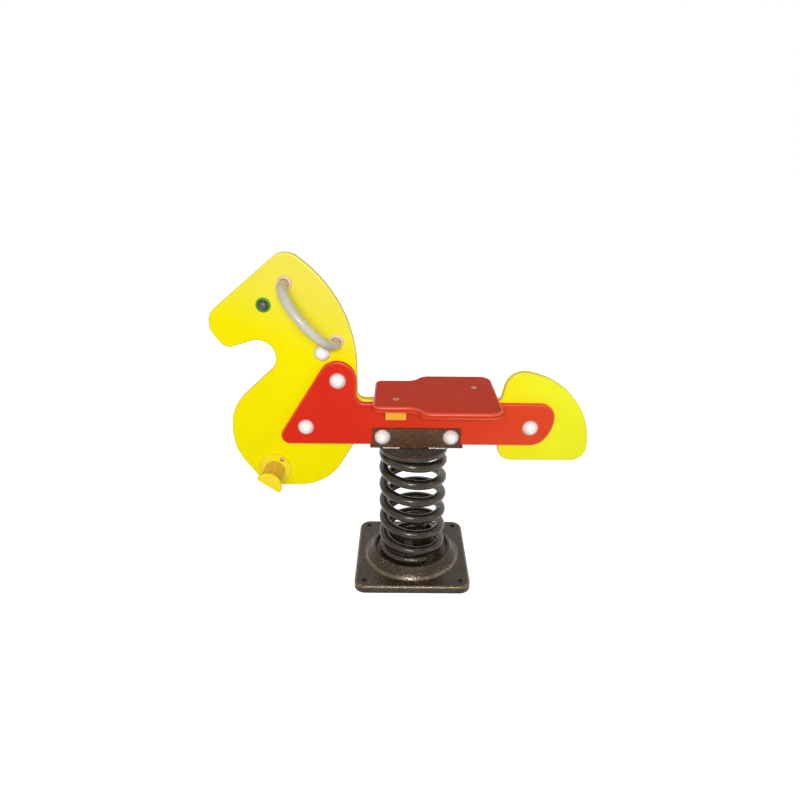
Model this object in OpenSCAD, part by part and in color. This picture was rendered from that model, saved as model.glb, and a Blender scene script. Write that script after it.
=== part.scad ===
// Spring rider: a horse of bolted plastic sheets standing on one coil spring.
// Millimetres. Origin on the ground at the spring's axis, +Z up, the head towards -X, the near side at -Y.

/* [Base] */
// Side of the square base
base_w = 300; // [280:1:340]
// Radius of the base's four corners
base_corner_r = 30; // [24:1:40]
// Height of the base's rim
base_rim_h = 20; // [16:1:30]
// Wall of the base
base_wall = 5; // [4:0.5:7]
// Roundover along the top of the rim
base_edge_r = 6; // [3:0.5:9]
// Spacing of the anchor holes
anchor_spacing = 248; // [238:1:252]
// Diameter of an anchor hole
anchor_hole_d = 14; // [10:0.5:18]
// Diameter of the boss round an anchor hole
anchor_boss_d = 34; // [28:1:38]
// Radius of the dome where it leaves the plate
dome_foot_r = 126; // [120:1:132]
// Radius of the dome's crest
dome_crest_r = 102; // [99:1:108]
// Radius of the rounded crest in section
dome_crest_round = 5; // [3:0.5:6]
// Height of the crest above the plate
dome_h = 26; // [20:1:36]
// Depth of the spring's seat below the crest
seat_recess = 12; // [9:0.5:14]

/* [Spring] */
// Outside diameter of the spring
spring_od = 177; // [170:1:182]
// Diameter of the spring's wire
spring_wire = 25; // [20:0.5:25]
// Overall length of the spring
spring_len = 308; // [304:1:345]
// Number of turns from end to end
spring_turns = 6.67; // [6.2:0.01:6.75]
// Turns that lie flat at each end
spring_flat_turns = 0.25; // [0.15:0.01:0.28]
// Turns over which the wire then leaves for the full pitch
spring_ramp_turns = 0.45; // [0.3:0.01:0.48]
// Direction of the lower end of the wire, in degrees
spring_start_angle = 296; // [280:1:320]

/* [Spring clamps] */
// Width of a clamp along the wire
clamp_w = 26; // [20:1:32]
// Thickness of the clamp's lip over the wire
clamp_lip_t = 5; // [4:0.5:6]
// Radius where a clamp starts, near the axis
clamp_inner_r = 30; // [24:1:34]
// Radius of the clamp bolts
clamp_bolt_r = 46; // [43:1:50]
// Diameter of a clamp bolt
clamp_bolt_d = 10; // [8:0.5:12]

/* [Saddle] */
// Thickness of the round plate on top of the spring
disc_t = 12; // [8:0.5:14]
// Diameter of the round plate
disc_d = 177; // [170:1:190]
// Thickness of the saddle's steel
saddle_t = 6; // [5:0.5:8]
// Middle of the saddle, from the spring's axis
saddle_x = 7; // [-8:1:12]
// Length of the saddle's floor
saddle_len = 234; // [226:1:250]
// Length of a saddle cheek
cheek_len = 222; // [204:1:226]
// Height of a saddle cheek above the floor
cheek_h = 47; // [44:1:56]
// Corner radius of a cheek
cheek_corner_r = 5; // [2:0.5:8]

/* [Sheets] */
// Thickness of the yellow middle sheet
core_t = 20; // [16:0.5:26]
// Thickness of a red side plate
side_t = 15; // [12:0.5:20]
// Roundover of the sheet edges
sheet_edge_r = 4; // [2:0.5:5]
// Height of the red beam
beam_h = 112; // [104:1:124]
// Height of the middle sheet above the red beam
core_proud = 4; // [2:0.5:6]
// Where the head sheet stops and the tail sheet starts
split_x = 10; // [-30:1:40]
// Gap between the head sheet and the tail sheet
split_gap = 2; // [1:0.5:4]

/* [Seat] */
// Front edge of the seat
seat_front_x = -100; // [-106:1:-92]
// Length of the seat
seat_len = 306; // [290:1:310]
// Width of the seat's front
seat_front_w = 190; // [180:1:200]
// Width of the seat's rear
seat_rear_w = 264; // [250:1:280]
// Thickness of the seat
seat_t = 15; // [12:0.5:20]
// Roundover of the seat's edge
seat_edge_r = 5; // [3:0.5:5.5]
// Distance of the front block's middle from the seat's front edge
block_front_inset = 55; // [48:1:62]
// Distance of the rear block's middle from the seat's rear edge
block_rear_inset = 53; // [48:1:60]
// Length of a block under the seat
block_len = 51; // [40:1:60]
// Reach of a block out of the side plate
block_w = 34; // [26:1:40]
// Height of a block
block_h = 34; // [26:1:44]
// Diameter of a seat screw
seat_screw_d = 8; // [6:0.5:9]
// Length of a seat screw below the seat
seat_screw_bite = 22; // [16:1:24]

/* [Handles] */
// Middle of a handle along the sheet
handle_x = -246; // [-252:1:-240]
// Height of a handle's middle above the beam's floor
handle_h = 334.5; // [328:0.5:338]
// Centre distance of a handle's feet
handle_spacing = 180; // [160:1:200]
// Reach of the grip's centre line from the sheet
handle_reach = 115; // [105:1:130]
// Diameter of the handle's grip
handle_d = 22; // [18:0.5:24]
// Diameter of the handle's feet
handle_foot_d = 23; // [22.5:0.5:26]
// Slope of the handle
handle_angle = 50; // [40:1:60]
// Diameter of the ring at a handle's foot
rosette_d = 36; // [32:0.5:42]
// Height of the ring at a handle's foot
rosette_h = 7; // [5:0.5:10]
// Diameter of the stud that joins a pair of feet
stud_d = 8; // [6:0.5:10]
// Depth of the stud in a handle
stud_bite = 18; // [12:1:24]

/* [Footrests] */
// Middle of a footrest along the sheet
foot_x = -358; // [-362:1:-345]
// Depth of a footrest's middle below the beam's floor
foot_depth = 77; // [66:0.5:78]
// Reach of a footrest from the sheet
foot_reach = 95; // [80:1:115]
// Radius of the tread
foot_tread_r = 25; // [22:0.5:26.5]
// Radius of the end flange
foot_end_r = 34; // [32.5:0.5:40]
// Radius of the fixing flange
foot_flange_r = 42; // [41:0.5:46]
// Thickness of the fixing flange
foot_flange_t = 6; // [5:0.5:8]
// Slope of the tread towards the rider
foot_angle = 36; // [25:1:45]
// Wall of the hollow footrest
foot_wall = 4.5; // [3.5:0.5:6]
// Diameter of a footrest screw
foot_screw_d = 6; // [4:0.5:6.5]
// Depth of a footrest screw in the sheet
foot_screw_bite = 8; // [6:0.5:8.5]

/* [Eyes] */
// Middle of an eye along the sheet
eye_x = -356.5; // [-366:0.5:-345]
// Height of an eye's middle above the beam's floor
eye_h = 352; // [346:0.5:362]
// Diameter of the green rim
eye_rim_d = 35; // [32:0.5:40]
// Thickness of the green rim
eye_rim_t = 4; // [3:0.5:6]
// Diameter of the dark pupil
eye_pupil_d = 26; // [22:0.5:28]
// Height of the pupil above the rim
eye_pupil_h = 7; // [5:0.5:9]
// Diameter of the pupil's stem
eye_stem_d = 12; // [9:0.5:14]
// Depth of the stem in the sheet
eye_stem_bite = 7; // [5:0.5:8]

/* [Bolts and caps] */
// Diameter of a through bolt
bolt_d = 10; // [8:0.5:10]
// Width of a bolt head or nut across its flats
hex_w = 16; // [14:0.5:17]
// Height of a bolt head
bolt_head_h = 6.4; // [5:0.2:7]
// Height of a nut
nut_h = 6.4; // [5:0.2:7]
// Length of bolt past its nut
bolt_tail = 2.5; // [1:0.5:3]
// Neck bolt, along the sheet
neck_bolt_x = -223.5; // [-232:0.5:-220]
// Neck bolt, height above the beam's floor
neck_bolt_h = 236.5; // [232:0.5:240]
// Upper shoulder bolt, along the sheet
shoulder_bolt_x = -187; // [-194:0.5:-184]
// Upper shoulder bolt, height above the beam's floor
shoulder_bolt_h = 170.5; // [164:0.5:176]
// Chest bolt, along the sheet
chest_bolt_x = -270; // [-278:1:-262]
// Chest bolt, height above the beam's floor
chest_bolt_h = 48; // [42:1:54]
// Tail bolt, along the sheet
tail_bolt_x = 290.5; // [284:0.5:298]
// Tail bolt, height above the beam's floor
tail_bolt_h = 50; // [44:1:58]
// Saddle bolt, height above the beam's floor
saddle_bolt_h = 25; // [23:0.5:26]
// Distance of a saddle bolt from the saddle's middle
saddle_bolt_x = 85.5; // [80:0.5:89]
// Diameter of a cap's base ring
cap_base_d = 40; // [36:0.5:44]
// Thickness of a cap's base ring
cap_base_t = 3.5; // [3:0.5:5]
// Diameter of a cap's dome
cap_dome_d = 35; // [34:0.5:36]
// Height of a cap's dome
cap_dome_h = 13; // [12.5:0.5:16]
// Wall of a cap's dome
cap_wall = 2; // [1.5:0.25:2.5]

/* [Fits] */
// Gap between the spring and what holds it
spring_gap = 0.3; // [0.2:0.05:0.5]
// Clearance of a bolt in its hole, on the diameter
hole_fit = 0.6; // [0.3:0.1:1]
// Clearance of a stud, nut or screw in its bore, on the diameter
bore_fit = 0.3; // [0.2:0.05:0.5]

/* [Hidden] */
$fn = 64;

// Heights, from the ground up
plate_z = base_rim_h;
crest_z = plate_z + dome_h;
seat_z = crest_z - seat_recess;
disc_z = seat_z + spring_len + 2 * spring_gap;
saddle_z = disc_z + disc_t;
beam_z = saddle_z + saddle_t;
beam_top = beam_z + beam_h;
core_top = beam_top + core_proud;
seat_top = core_top + seat_t;

// Depths, from the middle plane out to one side
core_face = core_t / 2;
side_face = core_face + side_t;
cheek_face = side_face + saddle_t;

// The spring's centre line
coil_r = (spring_od - spring_wire) / 2;
coil_bottom_z = seat_z + spring_gap + spring_wire / 2;
coil_rise = spring_len - spring_wire;
end_loss = spring_flat_turns + spring_ramp_turns / 2;
pitch = coil_rise / (spring_turns - 2 * end_loss);
rings_per_turn = 24;
wire_sides = 12;

// Clamps sit at these numbers of turns from the wire's ends, at the back and away from view
lower_clamp_turns = [0.4, 0.66];
upper_clamp_turns = [0.2, 0.38];

// Tops and corners of the outlines, [x, height above the beam's floor, radius], anticlockwise
head_back_x = -140.5;
head_outline = [
    [-148.6, 0, 25],
    [split_x - split_gap / 2, 0, 6],
    [split_x - split_gap / 2, core_top - beam_z, 6],
    [head_back_x, core_top - beam_z, 20],
    [head_back_x, 366, 323],
    [-302, 485, 47],
    [-489.5, 330, 42],
    [-489.5, 290, 36],
    [-456, 244, 26],
    [-211.5, 320.5, 42.5],
    [-457, 94, 120],
    [-461.5, -20, 135],
    [-386, -127.5, 85],
    [-224, -127.5, 135]
];
tail_left_x = 216;
tail_right_x = 445;
tail_outline = [
    [split_x + split_gap / 2, 0, 6],
    [tail_left_x, 0, 10],
    [tail_left_x, -49, 35],
    [tail_right_x, -49, 40],
    [tail_right_x, 157, 196],
    [234, 198.5, 48],
    [tail_left_x, core_top - beam_z, 10],
    [split_x + split_gap / 2, core_top - beam_z, 6]
];
side_end_h = 0.39 * beam_h;
side_outline = [
    [-352, 0, 22],
    [316, 0, 50],
    [350, side_end_h, 2 * side_end_h],
    [350, beam_h, 0.32 * beam_h],
    [-142.5, beam_h, 20],
    [-142.5, 331, 46]
];
waist_run = 20;
waist_step = (seat_rear_w - seat_front_w) / 2;
waist_share = 0.49;
waist_r = waist_share * norm([waist_run, waist_step]) / tan(atan2(waist_step, waist_run) / 2);
waist_inset = 101;
waist_front_x = seat_front_x + waist_inset;
waist_rear_x = waist_front_x + waist_run;
seat_rear_x = seat_front_x + seat_len;
seat_outline = [
    [seat_front_x, -seat_front_w / 2, 18],
    [waist_front_x, -seat_front_w / 2, waist_r],
    [waist_rear_x, -seat_rear_w / 2, waist_r],
    [seat_rear_x, -seat_rear_w / 2, 32],
    [seat_rear_x, seat_rear_w / 2, 32],
    [waist_rear_x, seat_rear_w / 2, waist_r],
    [waist_front_x, seat_front_w / 2, waist_r],
    [seat_front_x, seat_front_w / 2, 18]
];
base_outline = square_outline(base_w, base_corner_r);

// Through bolts, [x, z, half of what they clamp]
bolts = [
    [neck_bolt_x, beam_z + neck_bolt_h, core_face],
    [shoulder_bolt_x, beam_z + shoulder_bolt_h, side_face],
    [chest_bolt_x, beam_z + chest_bolt_h, side_face],
    [tail_bolt_x, beam_z + tail_bolt_h, side_face],
    [saddle_x - saddle_bolt_x, beam_z + saddle_bolt_h, cheek_face],
    [saddle_x + saddle_bolt_x, beam_z + saddle_bolt_h, cheek_face]
];

// Other places on the sheets, [x, z]
handle_at = [handle_x, beam_z + handle_h];
foot_at = [foot_x, beam_z - foot_depth];
eye_at = [eye_x, beam_z + eye_h];
foot_fillet = 2;
foot_screw_r = (foot_tread_r + foot_fillet + foot_flange_r) / 2;

// Seat blocks, [x, side]: one in front on the near side, one behind on the far side
blocks = [[seat_front_x + block_front_inset, -1], [seat_rear_x - block_rear_inset, 1]];
block_y = side_face + block_w / 2;
block_screw_x = block_len / 4;
block_screw_d = 6;
block_screw_bite = block_w - 10;
block_screw_z = core_top - block_h / 2;

// Outlines with round corners

function unit(v) = v / norm(v);
function turned(v, a) = [v.x * cos(a) - v.y * sin(a), v.x * sin(a) + v.y * cos(a)];
function flat(c) = [c.x, c.y];
function before(c, i) = flat(c[(i + len(c) - 1) % len(c)]);
function after(c, i) = flat(c[(i + 1) % len(c)]);
function heading_in(c, i) = unit(flat(c[i]) - before(c, i));
function heading_out(c, i) = unit(after(c, i) - flat(c[i]));
function turn_at(c, i) =
    let (u = heading_in(c, i), v = heading_out(c, i))
    atan2(cross(u, v), u * v);

// Corner i moved inwards by d, with the radius that keeps the two curves parallel
function inset_corner(c, i, d) =
    let (
        u = turned(heading_in(c, i), 90),
        v = turned(heading_out(c, i), 90),
        p = flat(c[i]) + d * (u + v) / (1 + u * v)
    )
    [p.x, p.y, c[i][2] - d * sign(turn_at(c, i))];

// Chords of an arc, so that none leaves the true curve by more than the sag
arc_sag = 0.25;
function arc_steps(turn, r) = ceil(abs(turn) / min(15, 2 * acos(1 - arc_sag / max(r, 1))));

function corner_arc(c, i, steps) =
    let (
        turn = turn_at(c, i),
        r = c[i][2],
        u = heading_in(c, i),
        start = flat(c[i]) - u * r * tan(abs(turn) / 2),
        spoke = turned(u, -90) * r * sign(turn)
    )
    [for (k = [0 : steps]) start - spoke + turned(spoke, turn * k / steps)];

function outline(c, d = 0) =
    let (moved = [for (i = [0 : len(c) - 1]) inset_corner(c, i, d)])
    [for (i = [0 : len(c) - 1]) each corner_arc(moved, i, arc_steps(turn_at(c, i), c[i][2]))];

function square_outline(w, r) =
    [[-w / 2, -w / 2, r], [w / 2, -w / 2, r], [w / 2, w / 2, r], [-w / 2, w / 2, r]];

// Layers of a sheet, [height, inset], with both of its edges rounded
round_step = 45;
function lower_round(e) = [for (a = [0 : round_step : 90]) [e * (1 - cos(a)), e * (1 - sin(a))]];
function upper_round(t, e) = [for (a = [90 : -round_step : 0]) [t - e * (1 - cos(a)), e * (1 - sin(a))]];

// Triangles that fill an outline, cut off one convex corner at a time
function holds(p, a, b, c) =
    cross(b - a, p - a) >= 0 && cross(c - b, p - b) >= 0 && cross(a - c, p - c) >= 0;
function is_ear(points, left, i) =
    let (
        n = len(left),
        a = points[left[(i + n - 1) % n]],
        b = points[left[i]],
        c = points[left[(i + 1) % n]]
    )
    cross(b - a, c - b) > 0 &&
        len([for (k = left) let (p = points[k]) if (p != a && p != b && p != c && holds(p, a, b, c)) k]) == 0;
function next_ear(points, left, i) =
    i == len(left) - 1 || is_ear(points, left, i) ? i : next_ear(points, left, i + 1);
function fill(points, left) =
    len(left) == 3 ? [left] :
        let (n = len(left), i = next_ear(points, left, 0))
        concat(
            [[left[(i + n - 1) % n], left[i], left[(i + 1) % n]]],
            fill(points, [for (k = [0 : n - 1]) if (k != i) left[k]])
        );

// Skin over a stack of rings that all have as many points. cap lists the faces of one end.
module skin(rings, cap) {
    n = len(rings[0]);
    last = len(rings) - 1;
    points = [for (ring = rings) each ring];
    far_cap = [for (face = cap) [for (j = [len(face) - 1 : -1 : 0]) last * n + face[j]]];
    sides = [for (i = [0 : last - 1], j = [0 : n - 1])
        let (a = i * n + j, b = i * n + (j + 1) % n)
        each [[a, a + n, b + n], [a, b + n, b]]];
    polyhedron(points, concat(cap, far_cap, sides), convexity = 10);
}

function whole(n) = [for (j = [0 : n - 1]) j];

module stack(c, layers) {
    rings = [for (l = layers) [for (p = outline(c, l[1])) [p.x, p.y, l[0]]]];
    skin(rings, fill(outline(c), whole(len(rings[0]))));
}

module sheet(c, t, e) stack(c, concat(lower_round(e), upper_round(t, e)));

// Stands a sheet upright, its floor on the beam's floor and its middle at y
module upright(t, y = 0) translate([0, y + t / 2, beam_z]) rotate([90, 0, 0]) children();

// Round bar across the sheets, from y0 to y1
module crossbar(x, z, y0, y1, d)
    translate([x, y1, z])
        rotate([90, 0, 0])
            cylinder(h = y1 - y0, d = d);

module on_side(side) if (side < 0) children(); else mirror([0, 1, 0]) children();

module bolt_holes(reach) for (b = bolts)
    if (b[2] >= reach) crossbar(b[0], b[1], -cheek_face - 1, cheek_face + 1, bolt_d + hole_fit);

// The spring's centre line, by turns from its lower end

function end_rise(t) =
    t < spring_flat_turns ? 0 :
        t < spring_flat_turns + spring_ramp_turns ? pow(t - spring_flat_turns, 2) / (2 * spring_ramp_turns) :
            t - end_loss;
function coil_z(t) =
    t < spring_turns / 2 ?
        coil_bottom_z + pitch * end_rise(t) :
        coil_bottom_z + coil_rise - pitch * end_rise(spring_turns - t);
function end_slope(t) = max(0, min(1, (t - spring_flat_turns) / spring_ramp_turns));
function coil_slope(t) = pitch * min(end_slope(t), end_slope(spring_turns - t));
function coil_angle(t) = spring_start_angle - 360 * t;
function coil_point(t) =
    let (a = coil_angle(t))
    [coil_r * cos(a), coil_r * sin(a), coil_z(t)];
function coil_ring(t) =
    let (
        a = coil_angle(t),
        out = [cos(a), sin(a), 0],
        along = unit([2 * PI * coil_r * sin(a), -2 * PI * coil_r * cos(a), coil_slope(t)]),
        up = cross(along, out)
    )
    [for (k = [0 : wire_sides - 1])
        coil_point(t) + spring_wire / 2 * (cos(360 * k / wire_sides) * out + sin(360 * k / wire_sides) * up)];

coil_rings = round(spring_turns * rings_per_turn);
coil_turns = [for (i = [0 : coil_rings]) spring_turns * i / coil_rings];

// Least gap of the wire to itself, on points of neighbouring turns
probe_step = 0.01;
probe_window = 0.12;
probe_points = [for (t = [0 : probe_step : spring_turns]) coil_point(t)];
probes_per_turn = round(1 / probe_step);
probe_reach = round(probe_window / probe_step);
coil_gap = min([for (i = [0 : len(probe_points) - 1], k = [-probe_reach : probe_reach])
    let (j = i + probes_per_turn + k)
    if (j < len(probe_points)) norm(probe_points[i] - probe_points[j])]) - spring_wire;

// Base

function dome_profile(inset) =
    let (
        r = dome_crest_round,
        slope = atan2(dome_h - r, dome_foot_r - dome_crest_r - r)
    )
    concat(
        [[0, plate_z - base_wall], [dome_foot_r + inset, plate_z - base_wall], [dome_foot_r + inset, plate_z]],
        [for (a = [90 - slope : 22.5 : 179]) [dome_crest_r + r * cos(a), crest_z - r + r * sin(a)]],
        [[dome_crest_r - r, crest_z - r], [dome_crest_r - r, seat_z], [0, seat_z]]
    );

module base_plate() color("#4a4238") difference() {
    union() {
        difference() {
            union() {
                stack(base_outline, [
                    [0, 0],
                    [plate_z - base_edge_r, 0],
                    [plate_z - base_edge_r * (1 - sin(45)), base_edge_r * (1 - cos(45))],
                    [plate_z, base_edge_r]
                ]);
                rotate_extrude() polygon(dome_profile(0));
            }
            stack(base_outline, [[-1, base_wall], [plate_z - base_wall, base_wall]]);
            translate([0, 0, plate_z - base_wall - 1])
                cylinder(
                    h = seat_z - plate_z + 1,
                    r1 = dome_foot_r - 2 * base_wall,
                    r2 = dome_crest_r - dome_crest_round - base_wall
                );
        }
        anchors() cylinder(h = plate_z - base_wall / 2, d = anchor_boss_d);
    }
    anchors() translate([0, 0, -1]) cylinder(h = plate_z + 2, d = anchor_hole_d);
    lower_clamp_spots() translate([0, 0, -base_wall - 1]) cylinder(h = base_wall + 2, d = clamp_bolt_d + hole_fit);
}

module anchors() for (x = [-1, 1], y = [-1, 1])
    translate([x * anchor_spacing / 2, y * anchor_spacing / 2, 0]) children();

// Spring and its clamps

module spring() color("#45403a") skin([for (t = coil_turns) coil_ring(t)], [whole(wire_sides)]);

module lower_clamp_spots() for (t = lower_clamp_turns)
    rotate([0, 0, coil_angle(t)]) translate([clamp_bolt_r, 0, seat_z]) children();

module upper_clamp_spots() for (t = upper_clamp_turns)
    rotate([0, 0, coil_angle(spring_turns - t)]) translate([clamp_bolt_r, 0, disc_z]) children();

// Block on the floor z = 0 that holds the wire from inside. drop is the wire's distance from the floor.
clamp_foot_min = 3;
module clamp(drop, slope) {
    slack = spring_gap + slope / (2 * PI * coil_r) * clamp_w / 2 + spring_gap;
    groove = drop - slack;
    top = drop + spring_wire + slack + clamp_lip_t;
    inner_r = (coil_r - spring_wire / 2) * cos(180 / rings_per_turn);
    wall_r = sqrt(pow(inner_r - spring_gap, 2) - pow(clamp_w / 2, 2));
    tip_r = coil_r + spring_wire / 4;
    difference() {
        translate([clamp_inner_r - clamp_bolt_r, -clamp_w / 2, 0])
            cube([tip_r - clamp_inner_r, clamp_w, top]);
        translate([wall_r - clamp_bolt_r, -clamp_w, groove < clamp_foot_min ? -1 : groove])
            cube([2 * spring_wire, 2 * clamp_w, groove < clamp_foot_min ?
                drop + spring_wire + slack + 1 : spring_wire + 2 * slack]);
        translate([0, 0, -1]) cylinder(h = top + 2, d = clamp_bolt_d + hole_fit);
    }
}

function lower_drop(t) = coil_z(t) - spring_wire / 2 - seat_z;
function upper_drop(t) = disc_z - coil_z(spring_turns - t) - spring_wire / 2;
function clamp_top(drop, slope) =
    drop + spring_wire + 2 * spring_gap + slope / (2 * PI * coil_r) * clamp_w / 2 + clamp_lip_t;
clamp_head_h = 6.5;
clamp_hex_w = 17;

module lower_clamps() color("#5b4a36") for (t = lower_clamp_turns)
    rotate([0, 0, coil_angle(t)])
        translate([clamp_bolt_r, 0, seat_z])
            clamp(lower_drop(t), coil_slope(t));

module lower_clamp_bolts() color("silver") for (t = lower_clamp_turns)
    rotate([0, 0, coil_angle(t)])
        translate([clamp_bolt_r, 0, seat_z + clamp_top(lower_drop(t), coil_slope(t))])
            clamp_bolt(clamp_top(lower_drop(t), coil_slope(t)) + base_wall + nut_h + bolt_tail);

module clamp_bolt(length) {
    cylinder(h = clamp_head_h, d = clamp_hex_w / cos(30), $fn = 6);
    translate([0, 0, -length]) cylinder(h = length, d = clamp_bolt_d);
}

module lower_clamp_nuts() color("silver") lower_clamp_spots()
    translate([0, 0, -base_wall - nut_h])
        difference() {
            cylinder(h = nut_h, d = clamp_hex_w / cos(30), $fn = 6);
            translate([0, 0, -1]) cylinder(h = nut_h + 2, d = clamp_bolt_d + bore_fit);
        }

module upper_clamps() color("#5b4a36") for (t = upper_clamp_turns)
    rotate([0, 0, coil_angle(spring_turns - t)])
        translate([clamp_bolt_r, 0, disc_z])
            mirror([0, 0, 1])
                clamp(upper_drop(t), coil_slope(t));

module upper_clamp_bolts() color("silver") for (t = upper_clamp_turns)
    rotate([0, 0, coil_angle(spring_turns - t)])
        translate([clamp_bolt_r, 0, disc_z - clamp_top(upper_drop(t), coil_slope(t))])
            mirror([0, 0, 1])
                clamp_bolt(clamp_top(upper_drop(t), coil_slope(t)) + disc_t);

// Top plate and saddle

module spring_top_plate() color("#5a4a3c") difference() {
    translate([0, 0, disc_z]) cylinder(h = disc_t, d = disc_d);
    upper_clamp_spots() translate([0, 0, -1]) cylinder(h = disc_t + 2, d = clamp_bolt_d + bore_fit);
}

module saddle() color("#55402a") difference() {
    union() {
        translate([saddle_x - saddle_len / 2, -cheek_face, saddle_z]) cube([saddle_len, 2 * cheek_face, saddle_t]);
        for (y = [-cheek_face, side_face]) translate([saddle_x, y, beam_z]) cheek();
    }
    bolt_holes(cheek_face);
}

module cheek() translate([0, saddle_t, 0]) rotate([90, 0, 0]) linear_extrude(saddle_t) {
    translate([-cheek_len / 2, -saddle_t / 2]) square([cheek_len, cheek_h + saddle_t / 2 - cheek_corner_r]);
    translate([-cheek_len / 2 + cheek_corner_r, 0]) square([cheek_len - 2 * cheek_corner_r, cheek_h]);
    for (s = [-1, 1])
        translate([s * (cheek_len / 2 - cheek_corner_r), cheek_h - cheek_corner_r]) circle(cheek_corner_r);
}

// Sheets

module head_sheet() color("#f5e414") difference() {
    upright(core_t) sheet(head_outline, core_t, sheet_edge_r);
    bolt_holes(0);
    handle_feet() crossbar(0, 0, -core_t, core_t, stud_d + hole_fit);
    for (side = [-1, 1]) on_side(side) {
        foot_screw_spots() crossbar(0, 0, -1, foot_screw_bite + 1, foot_screw_d + bore_fit);
        crossbar(eye_at.x, eye_at.y, -core_face - 1, -core_face + eye_stem_bite + 1, eye_stem_d + bore_fit);
    }
}

module tail_sheet() color("#eeec28") difference() {
    upright(core_t) sheet(tail_outline, core_t, sheet_edge_r);
    bolt_holes(0);
}

module side_plate(side) color("#dc2d1c") difference() {
    upright(side_t, side * (core_face + side_t / 2)) sheet(side_outline, side_t, sheet_edge_r);
    bolt_holes(side_face);
    block_screw_spots(side) block_screw(bore_fit, 1);
}

// Seat

module seat() color("#c83a28") difference() {
    translate([0, 0, core_top]) sheet(seat_outline, seat_t, seat_edge_r);
    seat_screw_spots() translate([0, 0, -seat_t - 1]) cylinder(h = seat_t + 2, d = seat_screw_d + hole_fit);
}

module seat_screw_spots() for (b = blocks) translate([b[0], b[1] * block_y, seat_top]) children();

module block_screw_spots(side) for (b = blocks, s = [-1, 1]) if (b[1] == side)
    translate([b[0] + s * block_screw_x, side * core_face, block_screw_z])
        rotate([-side * 90, 0, 0])
            children();

// Countersunk screw from the inner face of a side plate into a block. lead carries a cut out of the face.
module block_screw(fit, lead) {
    head_r = block_screw_d + fit / 2;
    shank_r = (block_screw_d + fit) / 2;
    length = side_t + block_screw_bite + fit;
    rotate_extrude() polygon([
        [0, -lead],
        [head_r, -lead],
        [head_r, 0],
        [shank_r, block_screw_d / 2],
        [shank_r, length],
        [0, length]
    ]);
}

module block_screws() color("silver") for (side = [-1, 1]) block_screw_spots(side) block_screw(0, 0);

module seat_blocks() color("#f8bc28") difference() {
    for (b = blocks)
        translate([b[0] - block_len / 2, b[1] < 0 ? -side_face - block_w : side_face, core_top - block_h])
            cube([block_len, block_w, block_h]);
    seat_screw_spots() translate([0, 0, -seat_t - seat_screw_bite - 1])
        cylinder(h = seat_screw_bite + 2, d = seat_screw_d + bore_fit);
    for (side = [-1, 1]) block_screw_spots(side) block_screw(bore_fit, 1);
}

// Low domed screw, its head standing on z = 0
module domed_screw(head_d, head_h, d, length) {
    ball = (head_d * head_d / 4 + head_h * head_h) / (2 * head_h);
    intersection() {
        translate([0, 0, head_h - ball]) sphere(ball);
        cylinder(h = head_h + 1, d = head_d);
    }
    translate([0, 0, -length]) cylinder(h = length, d = d);
}

module seat_screws() color("silver") seat_screw_spots()
    domed_screw(2 * seat_screw_d, seat_screw_d / 2, seat_screw_d, seat_t + seat_screw_bite);

// Handles

module handle_feet() translate([handle_at.x, 0, handle_at.y]) rotate([0, handle_angle, 0])
    for (s = [-1, 1]) translate([s * handle_spacing / 2, 0, 0]) children();

module handle(side) color("#c4beb4") on_side(side) difference() {
    bow_r = handle_spacing / 2;
    leg = handle_reach - bow_r;
    foot_lap = 2;
    union() {
        handle_feet() crossbar(0, 0, -core_face - leg - foot_lap, -core_face, handle_foot_d);
        translate([handle_at.x, -core_face - leg, handle_at.y])
            rotate([0, handle_angle, 0])
                rotate([0, 0, 180])
                    rotate_extrude(angle = 180) translate([bow_r, 0]) circle(d = handle_d);
    }
    handle_feet() crossbar(0, 0, -core_face - stud_bite - 1, -core_face + 1, stud_d + bore_fit);
}

module rosettes(side) color("#e2c8a4") on_side(side) handle_feet()
    translate([0, -core_face, 0])
        rotate([90, 0, 0])
            rotate_extrude() polygon([
                [(handle_foot_d + bore_fit) / 2, 0],
                [rosette_d / 2, 0],
                [rosette_d / 2, rosette_h / 2],
                [rosette_d / 2 - rosette_h / 4, rosette_h * 0.8],
                [(handle_foot_d + bore_fit) / 2 + rosette_h / 4, rosette_h],
                [(handle_foot_d + bore_fit) / 2, rosette_h]
            ]);

module handle_studs() color("silver") handle_feet()
    crossbar(0, 0, -core_face - stud_bite, core_face + stud_bite, stud_d);

// Footrests

// Half section of the footrest, [radius, distance from the sheet]
foot_end_t = 9;
foot_round = 3;
foot_flare = 2;
foot_profile = [
    [0, foot_flange_t / 2],
    [foot_tread_r + foot_fillet, foot_flange_t / 2],
    [foot_tread_r + foot_fillet, foot_flange_t],
    [foot_tread_r, foot_flange_t + foot_fillet],
    [foot_tread_r + foot_flare, foot_reach - foot_end_t - 10],
    [foot_end_r - foot_round, foot_reach - foot_end_t],
    [foot_end_r, foot_reach - foot_end_t + foot_round],
    [foot_end_r, foot_reach - foot_round],
    [foot_end_r - foot_round, foot_reach],
    [0, foot_reach]
];

module foot_frame() translate([foot_at.x, -core_face, foot_at.y]) rotate([0, foot_angle, 0]) rotate([90, 0, 0])
    children();

module foot_screw_spots() translate([foot_at.x, -core_face, foot_at.y]) rotate([0, foot_angle, 0])
    for (s = [-1, 1]) translate([0, 0, s * foot_screw_r]) children();

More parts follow.
